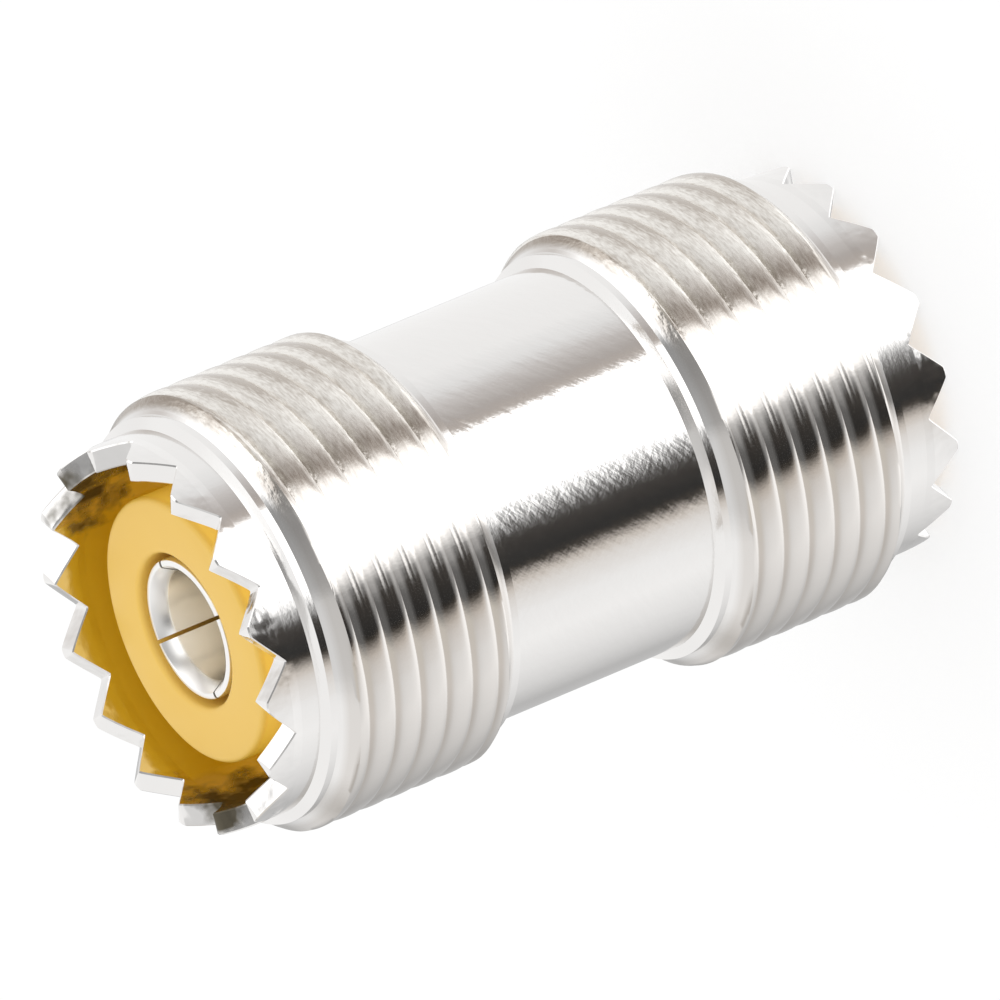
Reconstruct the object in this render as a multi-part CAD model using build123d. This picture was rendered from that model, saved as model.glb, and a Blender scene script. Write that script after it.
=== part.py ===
from build123d import *
from math import radians, sin, tan
import os

os.makedirs("parts", exist_ok=True)

# Straight double-female coaxial adapter. It stands on one toothed end: the origin is
# the centre of that end's tooth tips, and +Z is the axis of the barrel. Both ends are
# alike, so each piece is made from its middle plane up, and the other half or the
# other insulator is the same form turned end for end about X. All sizes are in mm.

# Barrel, outside, from the middle of the waist to the tooth tips.
waist_diameter = 13.95
waist_length = 8.1
step_run = 0.2               # axial length of the slope from waist or lip to the neck
neck_diameter = 14.76        # plain neck at each end of the thread
neck_length = 0.28
chamfer_angle = 45           # slope from neck to thread, measured from the axis
thread_diameter = 15.875     # 5/8 inch over the crests
thread_length = 6.1
lip_diameter = 14.0
lip_length = 2.025

# Toothed rim: V notches cut straight through the lip.
tooth_count = 16
tooth_depth = 1.05
tooth_land = 0.34            # width left on a tooth's tip at the lip's outer face
crown_turn = -7.6            # angle of the first tooth from the X axis, in degrees

# Barrel, inside.
mouth_diameter = 12.4
mouth_depth = 7.2            # tooth tips to the step that the insulator seats on
core_bore_diameter = 10.6

# Insulator.
boss_diameter = 9.6
boss_recess = 1.2            # tooth tips to the face of the boss
boss_edge = 0.2              # bevel round the face of the boss
flange_thickness = 1.3
insulator_clearance = 0.03   # radial, between insulator and barrel
relief_diameter = 5.6        # hole through the boss, with room for the socket to spring
relief_depth = 8.2
relief_edge = 0.2            # bevel at the mouth of that hole
contact_clearance = 0.03     # radial, between contact and insulator behind the relief

# Centre contact.
contact_diameter = 5.08
contact_recess = 0.15        # face of the boss to the rim of the socket
socket_diameter = 4.0        # takes a 3.96 mm pin
socket_depth = 9.2
drill_point_angle = 118
lead_in_diameter = 4.6       # wide end of the cone at the socket's mouth
lead_in_length = 0.55
rim_edge = 0.08              # bevel outside the rim of the socket
slot_count = 4
slot_width = 0.16
slot_length = 7.4
collar_diameter = 7.4
collar_length = 2.6

# Heights above the middle plane.
chamfer_run = (thread_diameter - neck_diameter) / 2 / tan(radians(chamfer_angle))
shoulder_z = waist_length / 2
neck_z = shoulder_z + step_run
thread_z = neck_z + neck_length + chamfer_run
chamfer_z = thread_z + thread_length
lip_z = chamfer_z + chamfer_run + neck_length + step_run
tip_z = lip_z + lip_length
seat_z = tip_z - mouth_depth
face_z = tip_z - boss_recess
rim_z = face_z - contact_recess
collar_z = collar_length / 2


def turned(corners):
    """Solid turned about Z from a closed outline of (radius, height) corners."""
    return revolve(make_face(Plane.XZ * Polyline(*corners, close=True)), Axis.Z)


def both_ends(half):
    """A half made above the middle plane, joined to the same half turned end for end."""
    return half + Rot(180, 0, 0) * half


def barrel_blank():
    """Half of the barrel as turned, with a plain rim and the thread at its crests."""
    waist, neck, thread, lip = (
        size / 2 for size in (waist_diameter, neck_diameter, thread_diameter, lip_diameter))
    mouth, core = mouth_diameter / 2, core_bore_diameter / 2
    return turned([
        (core, 0), (waist, 0), (waist, shoulder_z),
        (neck, neck_z), (neck, neck_z + neck_length), (thread, thread_z),
        (thread, chamfer_z), (neck, chamfer_z + chamfer_run), (neck, lip_z - step_run),
        (lip, lip_z), (lip, tip_z),
        (mouth, tip_z), (mouth, seat_z), (core, seat_z),
    ])


def crown_notches():
    """V notches between the teeth: each is the tooth pitch wide, less a tooth's land."""
    lip = lip_diameter / 2
    half_pitch = 180 / tooth_count
    half_width = lip * sin(radians(half_pitch)) - tooth_land / 2
    overrun = 1.0
    half_top = half_width * (1 + overrun / tooth_depth)
    vee = Plane.YZ * Polyline(
        (0, tip_z - tooth_depth), (half_top, tip_z + overrun), (-half_top, tip_z + overrun), close=True)
    cutter = extrude(make_face(vee), lip_diameter)
    return PolarLocations(0, tooth_count, crown_turn + half_pitch) * cutter


def shell():
    """Barrel: one piece, turned, threaded, toothed and plated."""
    return both_ends(barrel_blank() - crown_notches())


def insulator():
    """Moulded insulator above the middle plane: tail, flange and boss round one hole."""
    grip, relief = contact_diameter / 2 + contact_clearance, relief_diameter / 2
    tail = core_bore_diameter / 2 - insulator_clearance
    flange = mouth_diameter / 2 - insulator_clearance
    boss = boss_diameter / 2
    flange_z = seat_z + flange_thickness
    relief_z = face_z - relief_depth
    return turned([
        (grip, collar_z), (tail, collar_z), (tail, seat_z), (flange, seat_z),
        (flange, flange_z), (boss, flange_z), (boss, face_z - boss_edge),
        (boss - boss_edge, face_z), (relief + relief_edge, face_z),
        (relief, face_z - relief_edge), (relief, relief_z), (grip, relief_z),
    ])


def socket_half():
    """Half of the centre contact: half the collar, and a slotted socket above it."""
    collar, barrel, bore = collar_diameter / 2, contact_diameter / 2, socket_diameter / 2
    bore_z = rim_z - socket_depth
    point_z = bore_z - bore / tan(radians(drill_point_angle / 2))
    body = turned([
        (0, 0), (collar, 0), (collar, collar_z), (barrel, collar_z),
        (barrel, rim_z - rim_edge), (barrel - rim_edge, rim_z), (lead_in_diameter / 2, rim_z),
        (bore, rim_z - lead_in_length), (bore, bore_z), (0, point_z),
    ])
    slot = Pos(barrel, 0, rim_z - slot_length / 2) * Box(contact_diameter, slot_width, slot_length)
    return body - PolarLocations(0, slot_count) * slot


def center_contact():
    """Double-ended centre contact: two sockets back to back on one collar."""
    return both_ends(socket_half())


standing = Pos(0, 0, tip_z)
nodes = {
    "shell": standing * shell(),
    "insulator_near": standing * insulator(),
    "insulator_far": standing * Rot(180, 0, 0) * insulator(),
    "center_contact": standing * center_contact(),
}
for name, solid in nodes.items():
    export_step(solid, f"parts/{name}.step")
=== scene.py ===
from math import cos, pi, radians, sin

import bpy
import numpy as np
from mathutils import Matrix, Vector


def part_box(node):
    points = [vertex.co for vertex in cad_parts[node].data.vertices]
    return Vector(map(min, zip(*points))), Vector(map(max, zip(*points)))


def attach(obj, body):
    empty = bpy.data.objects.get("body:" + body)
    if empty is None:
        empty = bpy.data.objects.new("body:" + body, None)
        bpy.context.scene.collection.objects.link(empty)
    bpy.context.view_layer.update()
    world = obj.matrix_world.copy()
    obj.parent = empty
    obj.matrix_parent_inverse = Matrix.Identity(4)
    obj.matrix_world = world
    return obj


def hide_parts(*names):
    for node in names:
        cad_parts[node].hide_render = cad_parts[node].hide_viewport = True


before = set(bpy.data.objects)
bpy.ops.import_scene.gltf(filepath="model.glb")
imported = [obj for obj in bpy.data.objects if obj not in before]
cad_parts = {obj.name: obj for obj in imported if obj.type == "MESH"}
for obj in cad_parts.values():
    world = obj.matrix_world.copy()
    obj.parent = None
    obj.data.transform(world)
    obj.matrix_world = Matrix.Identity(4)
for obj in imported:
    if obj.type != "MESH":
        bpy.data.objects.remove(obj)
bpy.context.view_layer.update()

# Barrel. One turned brass piece, nickel plated: a plain waist between two 5/8-24
# threads, and sixteen V teeth cut through the rim of each end. The far end is made
# like the near one and turned end for end about X.
mm = 0.001
half_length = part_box("shell")[1].z / 2
waist_radius = 6.975 * mm
shoulder_z = 4.05 * mm          # heights are from the middle of the waist
step_run = 0.2 * mm
neck_radius = 7.38 * mm
neck_length = 0.28 * mm
lip_z = 12.225 * mm
lip_radius = 7.0 * mm
mouth_radius = 6.2 * mm
core_radius = 5.3 * mm
mouth_depth = 7.2 * mm
crest_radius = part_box("shell")[1].x
pitch = 25.4 / 24 * mm
thread_depth = 0.1 * mm
groove_power = 2.7              # the higher, the broader the crests and the sharper the grooves
near_start = 0.56 * mm          # height of a groove at the first notch, less whole pitches
far_start = 0.72 * mm
tooth_count = 16
crown_turn = radians(3.65)      # angle of the first notch from X
tooth_depth = 1.05 * mm
tooth_land = 0.34 * mm
depth_spread = 0.03             # of the notches' depths, as a share
notch_rounding = 0.035          # as shares of the notch's half width
tip_rounding = 0.03
tip_share = 1.14                # where the middle of a tooth is taken to be on the V
rim_bevel = 0.05 * mm
bend_size = 0.06 * mm
knocked_bend = 3                # times as far as the other teeth
knocked_teeth = [0, 1, 7, 8]    # on the near rim, counted round from the first notch
waist_steps = (0, 0.3, 0.65, 1)                 # places of the rows along each stretch,
lip_steps = (0.3, 0.5, 0.65, 0.8, 0.9, 1)       # as shares of it
rim_steps = (0, 0.25, 0.5, 0.75, 1)
mouth_steps = (0, 0.1, 0.2, 0.35, 0.5, 1)


def surface(name, points, faces, sharp_angle):
    """A mesh object from points and triangles, smooth shaded but for edges sharper than an angle."""
    mesh = bpy.data.meshes.new(name)
    mesh.vertices.add(len(points))
    mesh.vertices.foreach_set("co", points.astype(np.float32).ravel())
    mesh.loops.add(faces.size)
    mesh.loops.foreach_set("vertex_index", faces.astype(np.int32).ravel())
    mesh.polygons.add(len(faces))
    mesh.polygons.foreach_set("loop_start", np.arange(0, faces.size, 3, dtype=np.int32))
    mesh.update(calc_edges=True)
    mesh.validate()
    mesh.shade_smooth()
    mesh.set_sharp_from_angle(angle=sharp_angle)
    piece = bpy.data.objects.new(name, mesh)
    bpy.context.scene.collection.objects.link(piece)
    return piece


def grid_faces(points):
    """Triangles of a grid of points, two for each cell, with the rows running up on the outside."""
    rows, columns = points.shape[:2]
    index = np.arange(rows * columns).reshape(rows, columns)
    a, b, c, d = index[:-1, :-1], index[:-1, 1:], index[1:, 1:], index[1:, :-1]
    return np.concatenate([np.stack(corner, -1).reshape(-1, 3) for corner in ((a, b, c), (a, c, d))])


def welded(*grids):
    """Points and triangles of several grids, with points at one place made one and flat triangles gone."""
    points = np.concatenate([grid.reshape(-1, 3) for grid in grids])
    starts = np.cumsum([0] + [grid.shape[0] * grid.shape[1] for grid in grids])
    faces = np.concatenate([grid_faces(grid) + start for grid, start in zip(grids, starts)])
    keys = np.round(points / (1e-5 * mm)).astype(np.int64)
    _, first, same = np.unique(keys, axis=0, return_index=True, return_inverse=True)
    faces = same.ravel()[faces]
    a, b, c = faces.T
    return points[first], faces[(a != b) & (b != c) & (c != a)]


def turned_over(grid):
    """The same grid turned half a turn about X, end for end."""
    return grid * np.array([1, -1, -1])


def from_polar(radius, angle, height):
    """Points from radius, angle and height, as one array."""
    return np.stack([radius * np.cos(angle), radius * np.sin(angle), height], -1)


def tooth_places():
    """Sideways places of the columns within one notch pitch, as shares of the notch's half width.

    Nine run from the notch's bottom up its flank, one is in the middle of the tooth, where
    the share is infinite, and the rest mirror the flank."""
    flank = np.array([0, 0.03, 0.1, 0.25, 0.45, 0.65, 0.85, 0.965, 1.0])
    return np.concatenate([flank, [np.inf], -flank[:0:-1]])


def column_angles(radius, first_notch):
    """Angle of each column round the rim where the wall has this radius.

    A notch has parallel sides, so a column at the sideways place y stands at asin(y / radius)
    from its notch's middle, and one in the middle of a tooth stands half a pitch from it."""
    step = 2 * pi / tooth_count
    share = tooth_places()
    tooth_middle = np.isinf(share)
    half_width = lip_radius * sin(step / 2) - tooth_land / 2
    flank = np.arcsin(np.where(tooth_middle, 0, share) * half_width / radius)
    within = np.where(tooth_middle, step / 2, flank)
    within = np.where(share < 0, step + within, within)
    angles = first_notch + (np.arange(tooth_count)[:, None] * step + within[None, :]).ravel()
    return np.append(angles, angles[0] + 2 * pi)


def rim_height(rng):
    """Height of the rim at each column: a V with a slightly rounded bottom and tips.

    The drop below the tips is depth * soft(1 - sqrt(share^2 + bottom^2)), where soft(d) is
    (d + sqrt(d^2 + tip^2)) / 2, and each notch's depth differs a little from the next."""
    share = np.where(np.isinf(tooth_places()), tip_share, tooth_places())
    d = 1 - np.sqrt(share ** 2 + notch_rounding ** 2)
    drop = (d + np.sqrt(d ** 2 + tip_rounding ** 2)) / 2
    depths = tooth_depth * (1 + depth_spread * rng.uniform(-1, 1, tooth_count))
    heights = half_length - (depths[:, None] * drop[None, :]).ravel()
    return np.append(heights, heights[0])


def thread_ladder():
    """Places of one pitch's rows, from one groove to the next, and the depth below the crest at each.

    The crest is broad and crowned, and a sharp groove parts it from the next:
    depth = thread_depth * |share|^power, where share runs from -1 to 1 between two grooves."""
    half = np.array([0.16, 0.34, 0.5, 0.64, 0.76, 0.86, 0.94])
    share = np.concatenate([[-1], -half[::-1], [0], half])
    return (share + 1) * pitch / 2, thread_depth * np.abs(share) ** groove_power


def envelope(z):
    """Radius of the barrel before its thread is cut: step, neck and 45 degree slope at each end."""
    slope = crest_radius - neck_radius
    low, high = shoulder_z + step_run, lip_z - step_run
    places = [shoulder_z, low, low + neck_length, low + neck_length + slope,
              high - neck_length - slope, high - neck_length, high, lip_z]
    return np.interp(z, places, [waist_radius, neck_radius, neck_radius, crest_radius,
                                 crest_radius, neck_radius, neck_radius, lip_radius])


def threaded_rows(angles, thread_start):
    """Radius and height of the rows between the two necks, where each row follows the helix.

    A row climbs one pitch in one turn and is held between the necks. Its radius is the
    thread's own, or the envelope's where that is less."""
    low, high = shoulder_z + step_run + neck_length, lip_z - step_run - neck_length
    places, depth = thread_ladder()
    turns = int(np.ceil((high - low) / pitch)) + 2
    first = np.floor((low - thread_start) / pitch) - 1
    ladder = ((first + np.arange(turns + 1))[:, None] * pitch + places[None, :]).ravel() + thread_start
    ladder = ladder - pitch * angles[0] / (2 * pi)
    z = np.clip(ladder[:, None] + pitch * angles[None, :] / (2 * pi) - pitch, low, high)
    own = np.tile(crest_radius - depth, turns + 1)[:, None]
    return np.minimum(envelope(z), own), z


def bent(grid, rng, knocked):
    """The grid with its teeth bent: each a little, and the knocked ones further.

    A point moves outward and sideways by its tooth's own shifts times h^2, where h runs from
    0 at the bottom of the notches to 1 at the tips."""
    shifts = rng.uniform(-1, 1, (2, tooth_count)) * bend_size
    shifts[:, knocked] *= knocked_bend
    columns = np.repeat(shifts, len(tooth_places()), 1)
    out, aside = np.append(columns, columns[:, :1], 1)
    h = np.clip((grid[..., 2] - half_length + tooth_depth) / tooth_depth, 0, 1)
    outward = grid[..., :2] / np.linalg.norm(grid[..., :2], axis=-1, keepdims=True)
    sideways = np.stack([-outward[..., 1], outward[..., 0]], -1)
    push = out[:, None] * outward + aside[:, None] * sideways
    moved = grid[..., :2] + (h ** 2)[..., None] * push
    return np.concatenate([moved, grid[..., 2:]], -1)


def barrel_half(first_notch, thread_start, seed, knocked):
    """Grid of half the barrel: up the outside from the waist's middle, over the rim, down the bore."""
    rng = np.random.default_rng(seed)
    outer = column_angles(lip_radius, first_notch)
    inner = column_angles(mouth_radius, first_notch)
    plain = np.linspace(0, 2 * pi, len(outer))
    rim = rim_height(rng)
    same = np.ones_like(outer)
    radii, heights = threaded_rows(outer, thread_start)
    rows = [(waist_radius, plain + (outer - plain) * t, shoulder_z * t) for t in waist_steps]
    rows += [(neck_radius, outer, shoulder_z + step_run)]
    rows += [(radius, outer, height) for radius, height in zip(radii, heights)]
    rows += [(neck_radius, outer, lip_z - step_run), (lip_radius, outer, lip_z)]
    for t in lip_steps:
        rows.append((lip_radius, outer, lip_z + (rim - rim_bevel - lip_z) * t))
    for t in rim_steps:
        radius = lip_radius - rim_bevel + (mouth_radius - lip_radius + 2 * rim_bevel) * t
        rows.append((radius, column_angles(radius, first_notch), rim))
    for t in mouth_steps:
        rows.append((mouth_radius, inner, rim - rim_bevel + (lip_z - rim + rim_bevel) * t))
    seat = half_length - mouth_depth
    rows += [(mouth_radius, inner, seat), (core_radius, inner, seat)]
    rows += [(core_radius, plain + (inner - plain) * t, seat * t) for t in (0.5, 0)]
    grid = np.stack([from_polar(r * same, angle, z * same) for r, angle, z in rows])
    return bent(grid, rng, knocked)


near_half = barrel_half(crown_turn, near_start, seed=3, knocked=knocked_teeth)
far_half = barrel_half(crown_turn, far_start, seed=4, knocked=[])
points, faces = welded(near_half, turned_over(far_half))
barrel = surface("barrel", points + [0, 0, half_length], faces, sharp_angle=radians(33))


class Wire:
    """A node's output. An expression on wires and numbers adds one Math node for each sign."""

    def __init__(self, nodes, socket):
        self.nodes, self.socket = nodes, socket

    def math(self, operation, *others, clamp=False):
        """This wire and the other values, through one Math node."""
        return self.nodes.add("ShaderNodeMath", {"operation": operation, "use_clamp": clamp},
                              dict(enumerate((self, *others))))

    def ramp(self, start, end):
        """Share that is 0 where this wire is at start and 1 at end, straight between and level beyond."""
        slope = 1 / (end - start)
        return self.math("MULTIPLY_ADD", slope, -start * slope, clamp=True)

    def __add__(self, other):
        return self.math("ADD", other)

    def __sub__(self, other):
        return self.math("SUBTRACT", other)

    def __rsub__(self, other):
        return self.nodes.add("ShaderNodeMath", {"operation": "SUBTRACT"}, {0: other, 1: self})

    def __mul__(self, other):
        return self.math("MULTIPLY", other)

    def __truediv__(self, other):
        return self.math("DIVIDE", other)

    def __rtruediv__(self, other):
        return self.nodes.add("ShaderNodeMath", {"operation": "DIVIDE"}, {0: other, 1: self})

    __radd__ = __add__
    __rmul__ = __mul__


class Nodes:
    """A node tree. Its one method adds a node of any type."""

    def __init__(self, tree):
        self.tree = tree
        tree.nodes.clear()

    def add(self, kind, settings=None, sockets=None, output=0):
        """Adds a node: its settings first, then the values or wires of its sockets, and gives an output."""
        node = self.tree.nodes.new(kind)
        settings = dict(settings or {})
        stops = settings.pop("stops", None)
        for key, value in settings.items():
            setattr(node, key, value)
        if stops:
            elements = node.color_ramp.elements
            while len(elements) < len(stops):
                elements.new(0.5)
            for element, (place, colour) in zip(elements, stops):
                element.position = place
                element.color = colour if isinstance(colour, tuple) else (colour, colour, colour, 1)
        for key, value in (sockets or {}).items():
            if isinstance(value, Wire):
                self.tree.links.new(value.socket, node.inputs[key])
            else:
                node.inputs[key].default_value = value
        if output is None:
            return node
        return Wire(self, node.outputs[output])


def material(name):
    """A new material with its empty node tree."""
    finish = bpy.data.materials.new(name)
    finish.use_nodes = True
    return finish, Nodes(finish.node_tree)


def dress(piece, finish):
    """Gives a piece one material in place of those it has."""
    piece.data.materials.clear()
    piece.data.materials.append(finish)


def coordinates(nodes, vector):
    """The X, Y and Z of a vector, as three wires."""
    split = nodes.add("ShaderNodeSeparateXYZ", None, {"Vector": vector}, None)
    return [Wire(nodes, output) for output in split.outputs]


def from_axis(nodes, place):
    """Distance of a place from the barrel's axis."""
    across = nodes.add("ShaderNodeVectorMath", {"operation": "MULTIPLY"}, {0: place, 1: (1, 1, 0)})
    return nodes.add("ShaderNodeVectorMath", {"operation": "LENGTH"}, {0: across}, "Value")


def around(nodes, place, spot, reach):
    """Share that falls from 1 at a spot to 0 at this distance from it."""
    away = nodes.add("ShaderNodeVectorMath", {"operation": "DISTANCE"}, {0: place, 1: spot}, "Value")
    return away.ramp(reach, 0)


def mixed(share, low, high):
    """Colour that goes from low to high as a share goes from 0 to 1."""
    return share.nodes.add("ShaderNodeMix", {"data_type": "RGBA"}, {"Factor": share, 6: low, 7: high}, 2)


nickel_colour = (0.90, 0.885, 0.87, 1)
thread_colour = (0.77, 0.74, 0.71, 1)
# Ends of the torn side's colour: the grains' own bright and dark, which also carry a painted highlight and
# painted shade.
bright_grain_and_highlight = (0.98, 0.95, 0.90, 1)
dark_grain_and_shade = (0.48, 0.43, 0.38, 1)
# A darker colour for blotches on the wall inside the teeth.
dark_blotch_colour = (0.13, 0.115, 0.085, 1)
mask_edge = 0.2 * mm            # over which a mask grows in
dented_band = 1.3 * mm          # from the tips of the teeth
dented_spot = (-6.0 * mm, 1.4 * mm, 26.8 * mm)
dull_spot = (5.8 * mm, 2.4 * mm, 27.4 * mm)
spot_reach = 4.0 * mm
# How the darker blotches grow: from their grains, and most round the two spots.
blotch_contrast, blotch_level = 4.5, -3.5
dented_blotching, dull_blotching = 3.4, 2.6

# The torn side: the cut's own grains, with painted shade further out, in a band and over each
# crest. Where one name has two places, a change begins at the first and is full at the second.
torn_x = 1.8 * mm, 3.8 * mm
# Painted shade: darker further out in X, in a band, and across each crest.
shaded_x = 4.76 * mm, 8.21 * mm
ridge_shade_x = 5.5 * mm, 7.5 * mm
shade_band_x, shade_band_reach = 3.2 * mm, (1.0 * mm, 0.23 * mm)
rough_depth = 0.024 * mm, 0.084 * mm            # below the crests
torn_contrast, torn_level = 1.6, -0.7
outer_shade, shade_band_strength = 0.9, 0.7
ridge_shade_contrast = 2.4

# Sizes of the marks, across the axis and along it, with their heights in micrometres.
# The two sets that cross on the waist are turned about Y.
mark_size = 0.8 * mm, 0.12 * mm
fine_size, fine_height = (0.11 * mm, 0.11 * mm), 0.8
torn_size, torn_height = (0.4 * mm, 0.08 * mm), 4
groove_size, groove_height = (0.35 * mm, 0.14 * mm), 30
dent_size, dent_height, spot_height = (1.1 * mm, 1.1 * mm), 45, 120
blotch_size = 1.3 * mm, 1.3 * mm
slant_size, slant_height, slant_angle = (1.0 * mm, 0.3 * mm), 8, -0.7
cross_size, cross_height, cross_angle = (0.7 * mm, 0.2 * mm), 2, 0.7


def between_grooves(x, y, z):
    """Place on the thread, from 0 at one groove to 1 at the next one towards the near end.

    It is the fraction of height / pitch - angle / (2 pi) + start, where the two halves
    have each their own start, because their threads are cut one by one."""
    notch = crown_turn / (2 * pi)
    far = z.math("LESS_THAN", half_length)
    start = far * ((near_start + far_start) / pitch - 2 * notch) + (notch - near_start / pitch)
    turns = y.math("ARCTAN2", x) / (2 * pi)
    return ((z - half_length) / pitch - turns + start).math("FRACT")


def grain_and_shade_share(x, y, z, cut):
    """How dark the torn side of the thread is: its own grains, and painted shade further out, in a band low
    on it and over its crests' edges.

    The grains are the cut's own. The darkening further out and the band are painted shade. Further out,
    each crest is also painted dark towards the far end and bright towards the near end, a painted shade and
    highlight."""
    # Painted shade: a band low on the torn side, and darkening further out in X. Further out, each crest is
    # painted dark towards the far end and bright towards the near end, a painted shade and highlight.
    shade_band = (x - shade_band_x).math("ABSOLUTE").ramp(*shade_band_reach)
    ridge_shade = x.ramp(*ridge_shade_x) * (0.5 - between_grooves(x, y, z))
    base = outer_shade * x.ramp(*shaded_x) + ridge_shade_contrast * ridge_shade + shade_band_strength * shade_band + torn_level
    return cut.math("MULTIPLY_ADD", torn_contrast, base, clamp=True)


def plated_nickel():
    """Nickel over turned brass: bright, faintly warm, with fine marks from the cutting tool.

    The marks are noise drawn out round the axis, and on the plain waist two more sets of
    them cross aslant. The thread, where the radius is above the neck's, is duller. On the
    side that faces +X its cut is torn into dark and bright grains, with painted shade and
    highlight laid over them, and its grooves are rough. The cut teeth are dented, most of
    all round one spot of the near rim, and the wall inside them is darker in blotches round
    two spots."""
    finish, nodes = material("plated_nickel")
    place = nodes.add("ShaderNodeTexCoord", output="Object")
    x, y, z = coordinates(nodes, place)
    from_middle = (z - half_length).math("ABSOLUTE")
    radius = from_axis(nodes, place)

    def grains(size, detail, aslant=0.0):
        """Noise whose grains have this size across the axis and along it, turned about Y."""
        across, along = size
        drawn_out = nodes.add("ShaderNodeMapping", {"vector_type": "TEXTURE"}, {
            "Vector": place, "Rotation": (0, aslant, 0), "Scale": (across, across, along)})
        return nodes.add("ShaderNodeTexNoise", None, {
            "Vector": drawn_out, "Scale": 1.0, "Detail": detail}, "Fac")

    thread_low = neck_radius + 0.1 * mm
    threaded = radius.ramp(thread_low, thread_low + mask_edge)
    plain = from_middle.math("LESS_THAN", shoulder_z)
    below_teeth = half_length - dented_band
    toothed = from_middle.ramp(below_teeth, below_teeth + mm / 3)
    torn = threaded * x.ramp(*torn_x)
    groove = (crest_radius - radius).ramp(*rough_depth)
    dented = around(nodes, place, dented_spot, spot_reach)
    dull = around(nodes, place, dull_spot, spot_reach)
    inside = radius.ramp(lip_radius - rim_bevel, lip_radius - rim_bevel - mask_edge)

    marks = grains(mark_size, 3.0)
    cut = grains(torn_size, 3.0)
    blotch_grains = grains(blotch_size, 3.0)
    height = marks * (1 - 0.5 * threaded) + torn_height * cut * torn
    height = height + fine_height * grains(fine_size, 1.0)
    height = height + groove_height * groove * torn * grains(groove_size, 2.0)
    slanted = slant_height * grains(slant_size, 3.0, slant_angle)
    crossing = cross_height * grains(cross_size, 3.0, cross_angle)
    height = height + plain * (slanted + crossing)
    height = height + (dent_height + spot_height * dented) * toothed * grains(dent_size, 2.0)
    bump = nodes.add("ShaderNodeBump", None, {
        "Strength": 1.0, "Distance": 1.0e-6, "Height": height}, "Normal")

    # The wall inside the teeth is darker in blotches, most of all round the two spots.
    blotch_weight = dented_blotching * dented + dull_blotching * dull + blotch_level
    dark_blotches = inside * blotch_grains.math("MULTIPLY_ADD", blotch_contrast, blotch_weight, clamp=True)
    colour = mixed(threaded, nickel_colour, thread_colour)
    # On the torn side the grains' colour carries painted shade and a painted highlight.
    colour = mixed(torn, colour, mixed(grain_and_shade_share(x, y, z, cut), bright_grain_and_highlight, dark_grain_and_shade))
    colour = mixed(dark_blotches, colour, dark_blotch_colour)
    roughness = 0.08 + 0.05 * marks + 0.08 * torn + 0.3 * dark_blotches
    shader = nodes.add("ShaderNodeBsdfPrincipled", None, {
        "Base Color": colour, "Metallic": 1.0, "Roughness": roughness, "Normal": bump})
    nodes.add("ShaderNodeOutputMaterial", None, {"Surface": shader}, None)
    return finish


dress(barrel, plated_nickel())
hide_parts("shell")
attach(barrel, "root")

# Insulators. Two alike mouldings of amber plastic, one in each mouth: a boss with a
# hole for the socket, a flange seated on the bore's step, and a tail in the waist.
grip_radius = 2.57 * mm
tail_radius = 5.27 * mm
flange_radius = 6.17 * mm
boss_radius = 4.8 * mm
relief_radius = 2.8 * mm
collar_z = 1.3 * mm
seat_z = 7.05 * mm
flange_z = 8.35 * mm
face_z = 13.05 * mm
relief_z = 4.85 * mm
fine_edge = 0.05 * mm           # sizes of the rounded corners
flange_edge = 0.15 * mm
boss_foot = 0.2 * mm
boss_edge = 0.22 * mm
relief_edge = 0.2 * mm
skin = 0.3 * mm                 # depth over which the boss's side changes from its face
pale_amber = (0.86, 0.54, 0.10, 1)
clear_amber = (0.90, 0.59, 0.12, 1)
# The side's deeper amber is a painted shade, and the glows are painted light standing in for light through
# the plastic.
shaded_amber = (0.85, 0.53, 0.03, 1)
faint_painted_glow = (0.12, 0.065, 0, 1)
full_painted_glow = (0.33, 0.235, 0.06, 1)
no_glow = (0, 0, 0, 1)


def rounded(corners, rounds, steps=5):
    """Closed outline whose corners are rounded: each is a parabola between points cut back along its sides.

    The curve is (1-t)^2 A + 2t(1-t) P + t^2 B, with A and B at the rounding's length from P."""
    corner = np.array(corners, float)
    before, after = np.roll(corner, 1, 0) - corner, np.roll(corner, -1, 0) - corner
    size = np.array(rounds, float)[:, None]
    a = corner + before / np.linalg.norm(before, axis=1, keepdims=True) * size
    b = corner + after / np.linalg.norm(after, axis=1, keepdims=True) * size
    t = np.linspace(0, 1, steps)[None, :, None]
    curve = (1 - t) ** 2 * a[:, None] + 2 * t * (1 - t) * corner[:, None] + t ** 2 * b[:, None]
    return curve.reshape(-1, 2)


def turned_ring(outline, columns=192):
    """Grid of a closed outline of (radius, height) carried round the axis."""
    closed = np.concatenate([outline, outline[:1]])
    angle = np.linspace(0, 2 * pi, columns + 1)
    radius, height = closed[:, :1] * np.ones_like(angle), closed[:, 1:] * np.ones_like(angle)
    return from_polar(radius, angle * np.ones_like(radius), height)


def insulator_outline():
    """Outline of an insulator, up its outside and down its hole."""
    return rounded(
        [(grip_radius, collar_z), (tail_radius, collar_z), (tail_radius, seat_z),
         (flange_radius, seat_z), (flange_radius, flange_z), (boss_radius, flange_z),
         (boss_radius, face_z), (relief_radius, face_z), (relief_radius, relief_z),
         (grip_radius, relief_z)],
        [fine_edge, fine_edge, fine_edge, fine_edge, flange_edge, boss_foot,
         boss_edge, relief_edge, fine_edge, fine_edge])


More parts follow.
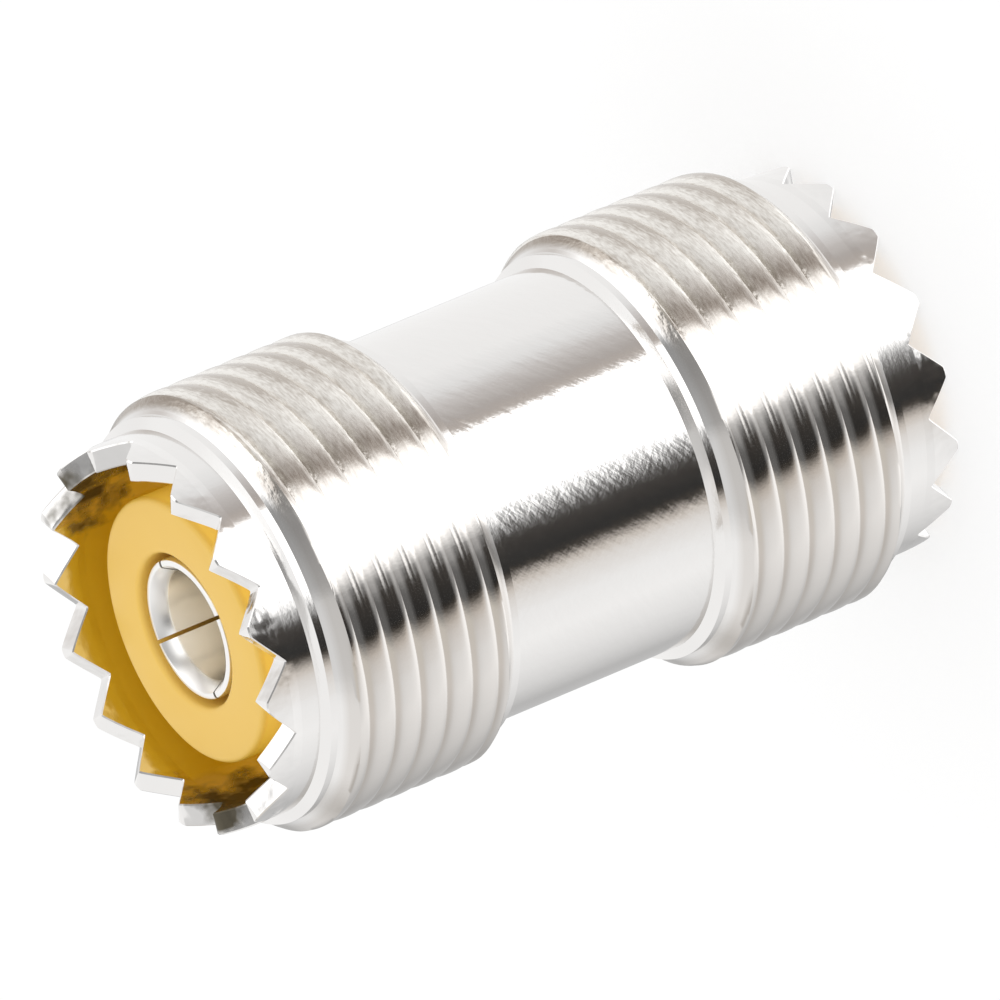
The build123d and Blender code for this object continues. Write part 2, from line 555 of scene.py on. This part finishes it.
def amber_plastic():
    """Moulded amber plastic: satin, with a faint grain, and with painted light on the side of its boss.

    The side of the boss is given a deeper amber than its face, a painted shade. A painted glow there stands
    in for the light that enters the face and comes through the plastic, more of it where the boss faces -Y.
    Both grow in over the skin's depth below the face."""
    finish, nodes = material("amber_plastic")
    place = nodes.add("ShaderNodeTexCoord", output="Object")
    _, y, z = coordinates(nodes, place)
    lit = y.ramp(0, -3.33 * mm)
    below = (z - half_length).math("ABSOLUTE").ramp(face_z, face_z - skin)
    side = below * from_axis(nodes, place).math("GREATER_THAN", boss_radius - skin)
    cloud = nodes.add("ShaderNodeTexNoise", None, {"Vector": place, "Scale": 350.0, "Detail": 2.0}, "Fac")
    grain = nodes.add("ShaderNodeTexNoise", None, {"Vector": place, "Scale": 6000.0, "Detail": 2.0}, "Fac")
    # Painted shade: a deeper amber on the boss's side. Painted light: a glow there, brighter towards -Y.
    colour = mixed(side, mixed(cloud, pale_amber, clear_amber), shaded_amber)
    painted_glow = mixed(side, no_glow, mixed(lit, faint_painted_glow, full_painted_glow))
    bump = nodes.add("ShaderNodeBump", None, {"Strength": 0.5, "Distance": 4e-6, "Height": grain}, "Normal")
    shader = nodes.add("ShaderNodeBsdfPrincipled", None, {
        "Base Color": colour, "Roughness": 0.38, "Specular IOR Level": 0.4, "Normal": bump,
        "Emission Color": painted_glow, "Emission Strength": 1.0})
    nodes.add("ShaderNodeOutputMaterial", None, {"Surface": shader}, None)
    return finish


amber = amber_plastic()
ring = turned_ring(insulator_outline())
for end, grid in (("near", ring), ("far", turned_over(ring))):
    points, faces = welded(grid)
    points = points + [0, 0, half_length]
    moulding = surface("moulding_" + end, points, faces, sharp_angle=radians(40))
    dress(moulding, amber)
    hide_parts("insulator_" + end)
    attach(moulding, "root")

# Centre contact. One turned brass piece, plated bright: a socket with four slots at
# each end and a collar between them, trapped by the two insulators.
contact_radius = 2.54 * mm
bore_radius = 2.0 * mm
collar_radius = 3.7 * mm
collar_edge = 0.12 * mm
rim_z = 12.9 * mm
rim_edge = 0.09 * mm            # rounding outside the rim
mouth_width = 0.32 * mm         # of the lead-in, outward from the bore
mouth_edge = 0.03 * mm
cone_width, cone_foot = 0.28 * mm, 0.05 * mm
cone_depth, lead_in_depth = 0.46 * mm, 0.6 * mm
slot_count = 4
slot_length = 7.4 * mm
slot_width = 0.14 * mm
socket_depth = 9.2 * mm
drill_point = 1.2 * mm
leaf_columns = 25
plating_colour = (0.97, 0.96, 0.94, 1)
drilled_colour = (0.98, 0.93, 0.84, 1)


def socket_grid():
    """Grid of half the contact: from the middle of the collar up the outside, over the rim, down the bore.

    A slot is a pair of columns half its width from its middle, whose points go no higher
    than the slot's floor."""
    outline = np.array([
        (collar_radius, 0), (collar_radius, collar_z - collar_edge),
        (collar_radius - collar_edge, collar_z),
        (contact_radius, collar_z), (contact_radius, rim_z - slot_length),
        (contact_radius, rim_z - rim_edge), (contact_radius - rim_edge / 3, rim_z - rim_edge / 3),
        (contact_radius - rim_edge, rim_z), (bore_radius + mouth_width, rim_z),
        (bore_radius + cone_width, rim_z - mouth_edge), (bore_radius + cone_foot, rim_z - cone_depth),
        (bore_radius, rim_z - lead_in_depth), (bore_radius, rim_z - slot_length),
        (bore_radius, rim_z - socket_depth), (0, rim_z - socket_depth - drill_point)])
    radius, height = outline[:, :1], outline[:, 1:]
    lowest = np.minimum(height, rim_z - slot_length)
    step = 2 * pi / slot_count
    half = np.arcsin(np.minimum(slot_width / 2 / np.maximum(radius, contact_radius / 3), 1))
    leaf = np.linspace(0, 1, leaf_columns)[None, :]
    angles, heights = [], []
    for slot in range(slot_count):
        here = slot * step
        angles += [here - half, here + half, here + half + (step - 2 * half) * leaf]
        heights += [lowest, lowest, height + 0 * leaf]
    angle = np.concatenate(angles + [2 * pi - half], 1)
    z = np.concatenate(heights + [lowest], 1)
    return from_polar(radius + 0 * angle, angle, z)


def plated_contact():
    """Bright plating on turned brass, satin all over, and warmer in the drilled bore."""
    finish, nodes = material("bright_plating")
    place = nodes.add("ShaderNodeTexCoord", output="Object")
    drilled = from_axis(nodes, place).ramp(bore_radius + 0.05 * mm, bore_radius)
    marks = nodes.add("ShaderNodeTexNoise", None, {"Vector": place, "Scale": 1500.0, "Detail": 2.0}, "Fac")
    bump = nodes.add("ShaderNodeBump", None, {"Strength": 1.0, "Distance": 3e-6, "Height": marks}, "Normal")
    shader = nodes.add("ShaderNodeBsdfPrincipled", None, {
        "Base Color": mixed(drilled, plating_colour, drilled_colour), "Metallic": 1.0,
        "Roughness": 0.3 - 0.04 * drilled, "Normal": bump})
    nodes.add("ShaderNodeOutputMaterial", None, {"Surface": shader}, None)
    return finish


socket = socket_grid()
points, faces = welded(socket, turned_over(socket))
contact = surface("contact", points + [0, 0, half_length], faces, sharp_angle=radians(33))
dress(contact, plated_contact())
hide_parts("center_contact")
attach(contact, "root")

# Floor. A plain pale sheet that the adapter stands on. The camera sees it lifted
# nearly to white, and it keeps the adapter's shadow.
floor_radius = 0.35
floor_grey = (0.4, 0.4, 0.4, 1)
floor_lift = 0.63
angle = np.linspace(0, 2 * pi, 65) * np.ones((2, 1))
radius = np.array([[floor_radius], [0.0]]) * np.ones_like(angle)
points, faces = welded(from_polar(radius, angle, np.zeros_like(angle)))
floor = surface("floor", points, faces, sharp_angle=radians(30))
floor_paint, nodes = material("pale_floor")
seen = nodes.add("ShaderNodeLightPath", output="Is Camera Ray")
pale = nodes.add("ShaderNodeBsdfDiffuse", None, {"Color": floor_grey})
lift = nodes.add("ShaderNodeEmission", None, {"Color": (1, 1, 1, 1), "Strength": floor_lift * seen})
both = nodes.add("ShaderNodeAddShader", None, {0: pale, 1: lift})
nodes.add("ShaderNodeOutputMaterial", None, {"Surface": both}, None)
dress(floor, floor_paint)
floor.visible_glossy = False

# Studio. Soft white light all round, with pale cards and dark gaps that only the
# metal's reflections show. A ray is placed by its share of a turn round the adapter,
# and by its height z, which is -1 straight down and 1 straight up. Where one name has
# two values, a change begins at the first and is full at the second.
wall_z = -0.454                 # of the rays that the camera sees in the barrel's upright walls
seam_share = 0.47               # where the dark gap meets the bright card
wave_size, wave_rate = 0.022, 45
wave_shares = 0.05, 0.0167      # off the seam
wave_heights = 0.1556, 0.0444   # off wall_z
skew, skew_limit = 0.16, 0.35   # of the cards' edges with height
raised_z = -0.2143, 0.0714
axial_z = 0.45, 0.7
foot_z = -0.7, -0.8667
side_drop = 0.25                # how much lower the axial cards reach beside and behind
side_shares = 0.16, 0.3267      # off the front
card_strength, falling = 1.07, 0.5

world = bpy.data.worlds.new("studio")
world.use_nodes = True
bpy.context.scene.world = world
nodes = Nodes(world.node_tree)
x, y, z = coordinates(nodes, nodes.add("ShaderNodeTexCoord", output="Generated"))
share = ((0 - x).math("ARCTAN2", y) / (2 * pi) + 1).math("FRACT")
above_wall = z - wall_z
wave = (wave_rate * above_wall).math("SINE")
ragged = (share - seam_share).math("ABSOLUTE").ramp(*wave_shares)
ragged = ragged * above_wall.math("ABSOLUTE").ramp(*wave_heights)
skewed = skew * above_wall.math("MINIMUM", skew_limit) * (share - 0.5)
edge = share + wave_size * wave * ragged + skewed


def cards(stops):
    """Brightness round the adapter from stops of share and grey, or share and colour."""
    return nodes.add("ShaderNodeValToRGB", {"stops": stops}, {"Fac": edge})


level = cards([
    (0.0, 0.43), (0.09, 0.385), (0.15, 0.55), (0.2, 0.655), (0.26, 0.74), (0.31, 0.705),
    (0.353, (0.60, 0.58, 0.56, 1)), (0.369, (0.50, 0.46, 0.42, 1)), (0.388, (0.03, 0.025, 0.02, 1)),
    (0.4, 0.022), (0.446, (0.045, 0.04, 0.036, 1)), (0.463, 0.2), (0.476, 0.6), (0.492, 1.25),
    (0.621, 1.25), (0.628, (0.36, 0.32, 0.29, 1)), (0.65, (0.34, 0.315, 0.30, 1)),
    (0.68, (0.46, 0.44, 0.43, 1)), (0.71, 0.63), (0.75, 0.71), (0.92, 0.745), (0.97, 0.745), (1.0, 0.43)])
raised = cards([
    (0.0, 0.95), (0.05, 0.85), (0.11, (0.50, 0.485, 0.465, 1)), (0.2, (0.57, 0.55, 0.53, 1)),
    (0.27, (0.69, 0.66, 0.63, 1)), (0.36, (0.65, 0.62, 0.57, 1)), (0.385, 0.13), (0.43, 0.13),
    (0.455, 0.4), (0.47, 0.6), (0.487, 1.5), (0.615, 1.5), (0.63, (0.34, 0.31, 0.28, 1)),
    (0.68, (0.46, 0.44, 0.40, 1)), (0.72, (0.73, 0.70, 0.665, 1)), (0.8, (0.6, 0.57, 0.545, 1)),
    (0.9, (0.58, 0.545, 0.52, 1)), (0.96, 0.85), (1.0, 0.95)])
axial = cards([
    (0.0, 0.9), (0.25, 0.87), (0.3, 0.67), (0.44, 0.63), (0.475, 0.42), (0.6, 0.31), (0.67, 0.28),
    (0.71, 1.35), (0.82, 1.35), (0.9, 0.9)])
foot = cards([
    (0.0, 0.82), (0.34, 0.8), (0.385, 0.2), (0.41, 0.2), (0.46, 0.45), (0.48, 1.25), (0.62, 1.25),
    (0.64, 0.85), (0.9, 0.9), (1.0, 0.82)])
off_front = (share - 0.5).math("ABSOLUTE").ramp(*side_shares)
studio = mixed(z.ramp(*raised_z), level, raised)
studio = mixed((z + side_drop * off_front).ramp(*axial_z), studio, axial)
studio = mixed(z.ramp(*foot_z), studio, foot)
strength = (card_strength - falling * z).math("MAXIMUM", card_strength)
studio = nodes.add("ShaderNodeVectorMath", {"operation": "SCALE"}, {0: studio, "Scale": strength})
glossy = nodes.add("ShaderNodeLightPath", output="Is Glossy Ray")
tone = mixed(glossy, (1, 1, 1, 1), studio)
background = nodes.add("ShaderNodeBackground", None, {"Color": tone, "Strength": 1.0})
nodes.add("ShaderNodeOutputWorld", None, {"Surface": background}, None)
world.cycles.sampling_method = "NONE"

# Camera. It looks at the middle of the adapter, 27 degrees off square towards the near
# end, and is rolled so that the barrel lies across the picture.
lean = radians(27)
roll = radians(22.6)
distance = 0.855
right = Vector((-sin(roll), -sin(lean) * cos(roll), -cos(lean) * cos(roll)))
above = Vector((cos(roll), -sin(lean) * sin(roll), -cos(lean) * sin(roll)))
back = Vector((0, -cos(lean), sin(lean)))
lens = bpy.data.cameras.new("camera")
lens.lens = 900
lens.clip_start, lens.clip_end = 0.1, 3
camera = bpy.data.objects.new("camera", lens)
bpy.context.scene.collection.objects.link(camera)
turned = Matrix((right, above, back)).transposed().to_4x4()
camera.matrix_world = Matrix.Translation(Vector((0, 0, half_length)) + distance * back) @ turned
bpy.context.scene.camera = camera
bpy.context.scene.view_settings.view_transform = "Standard"
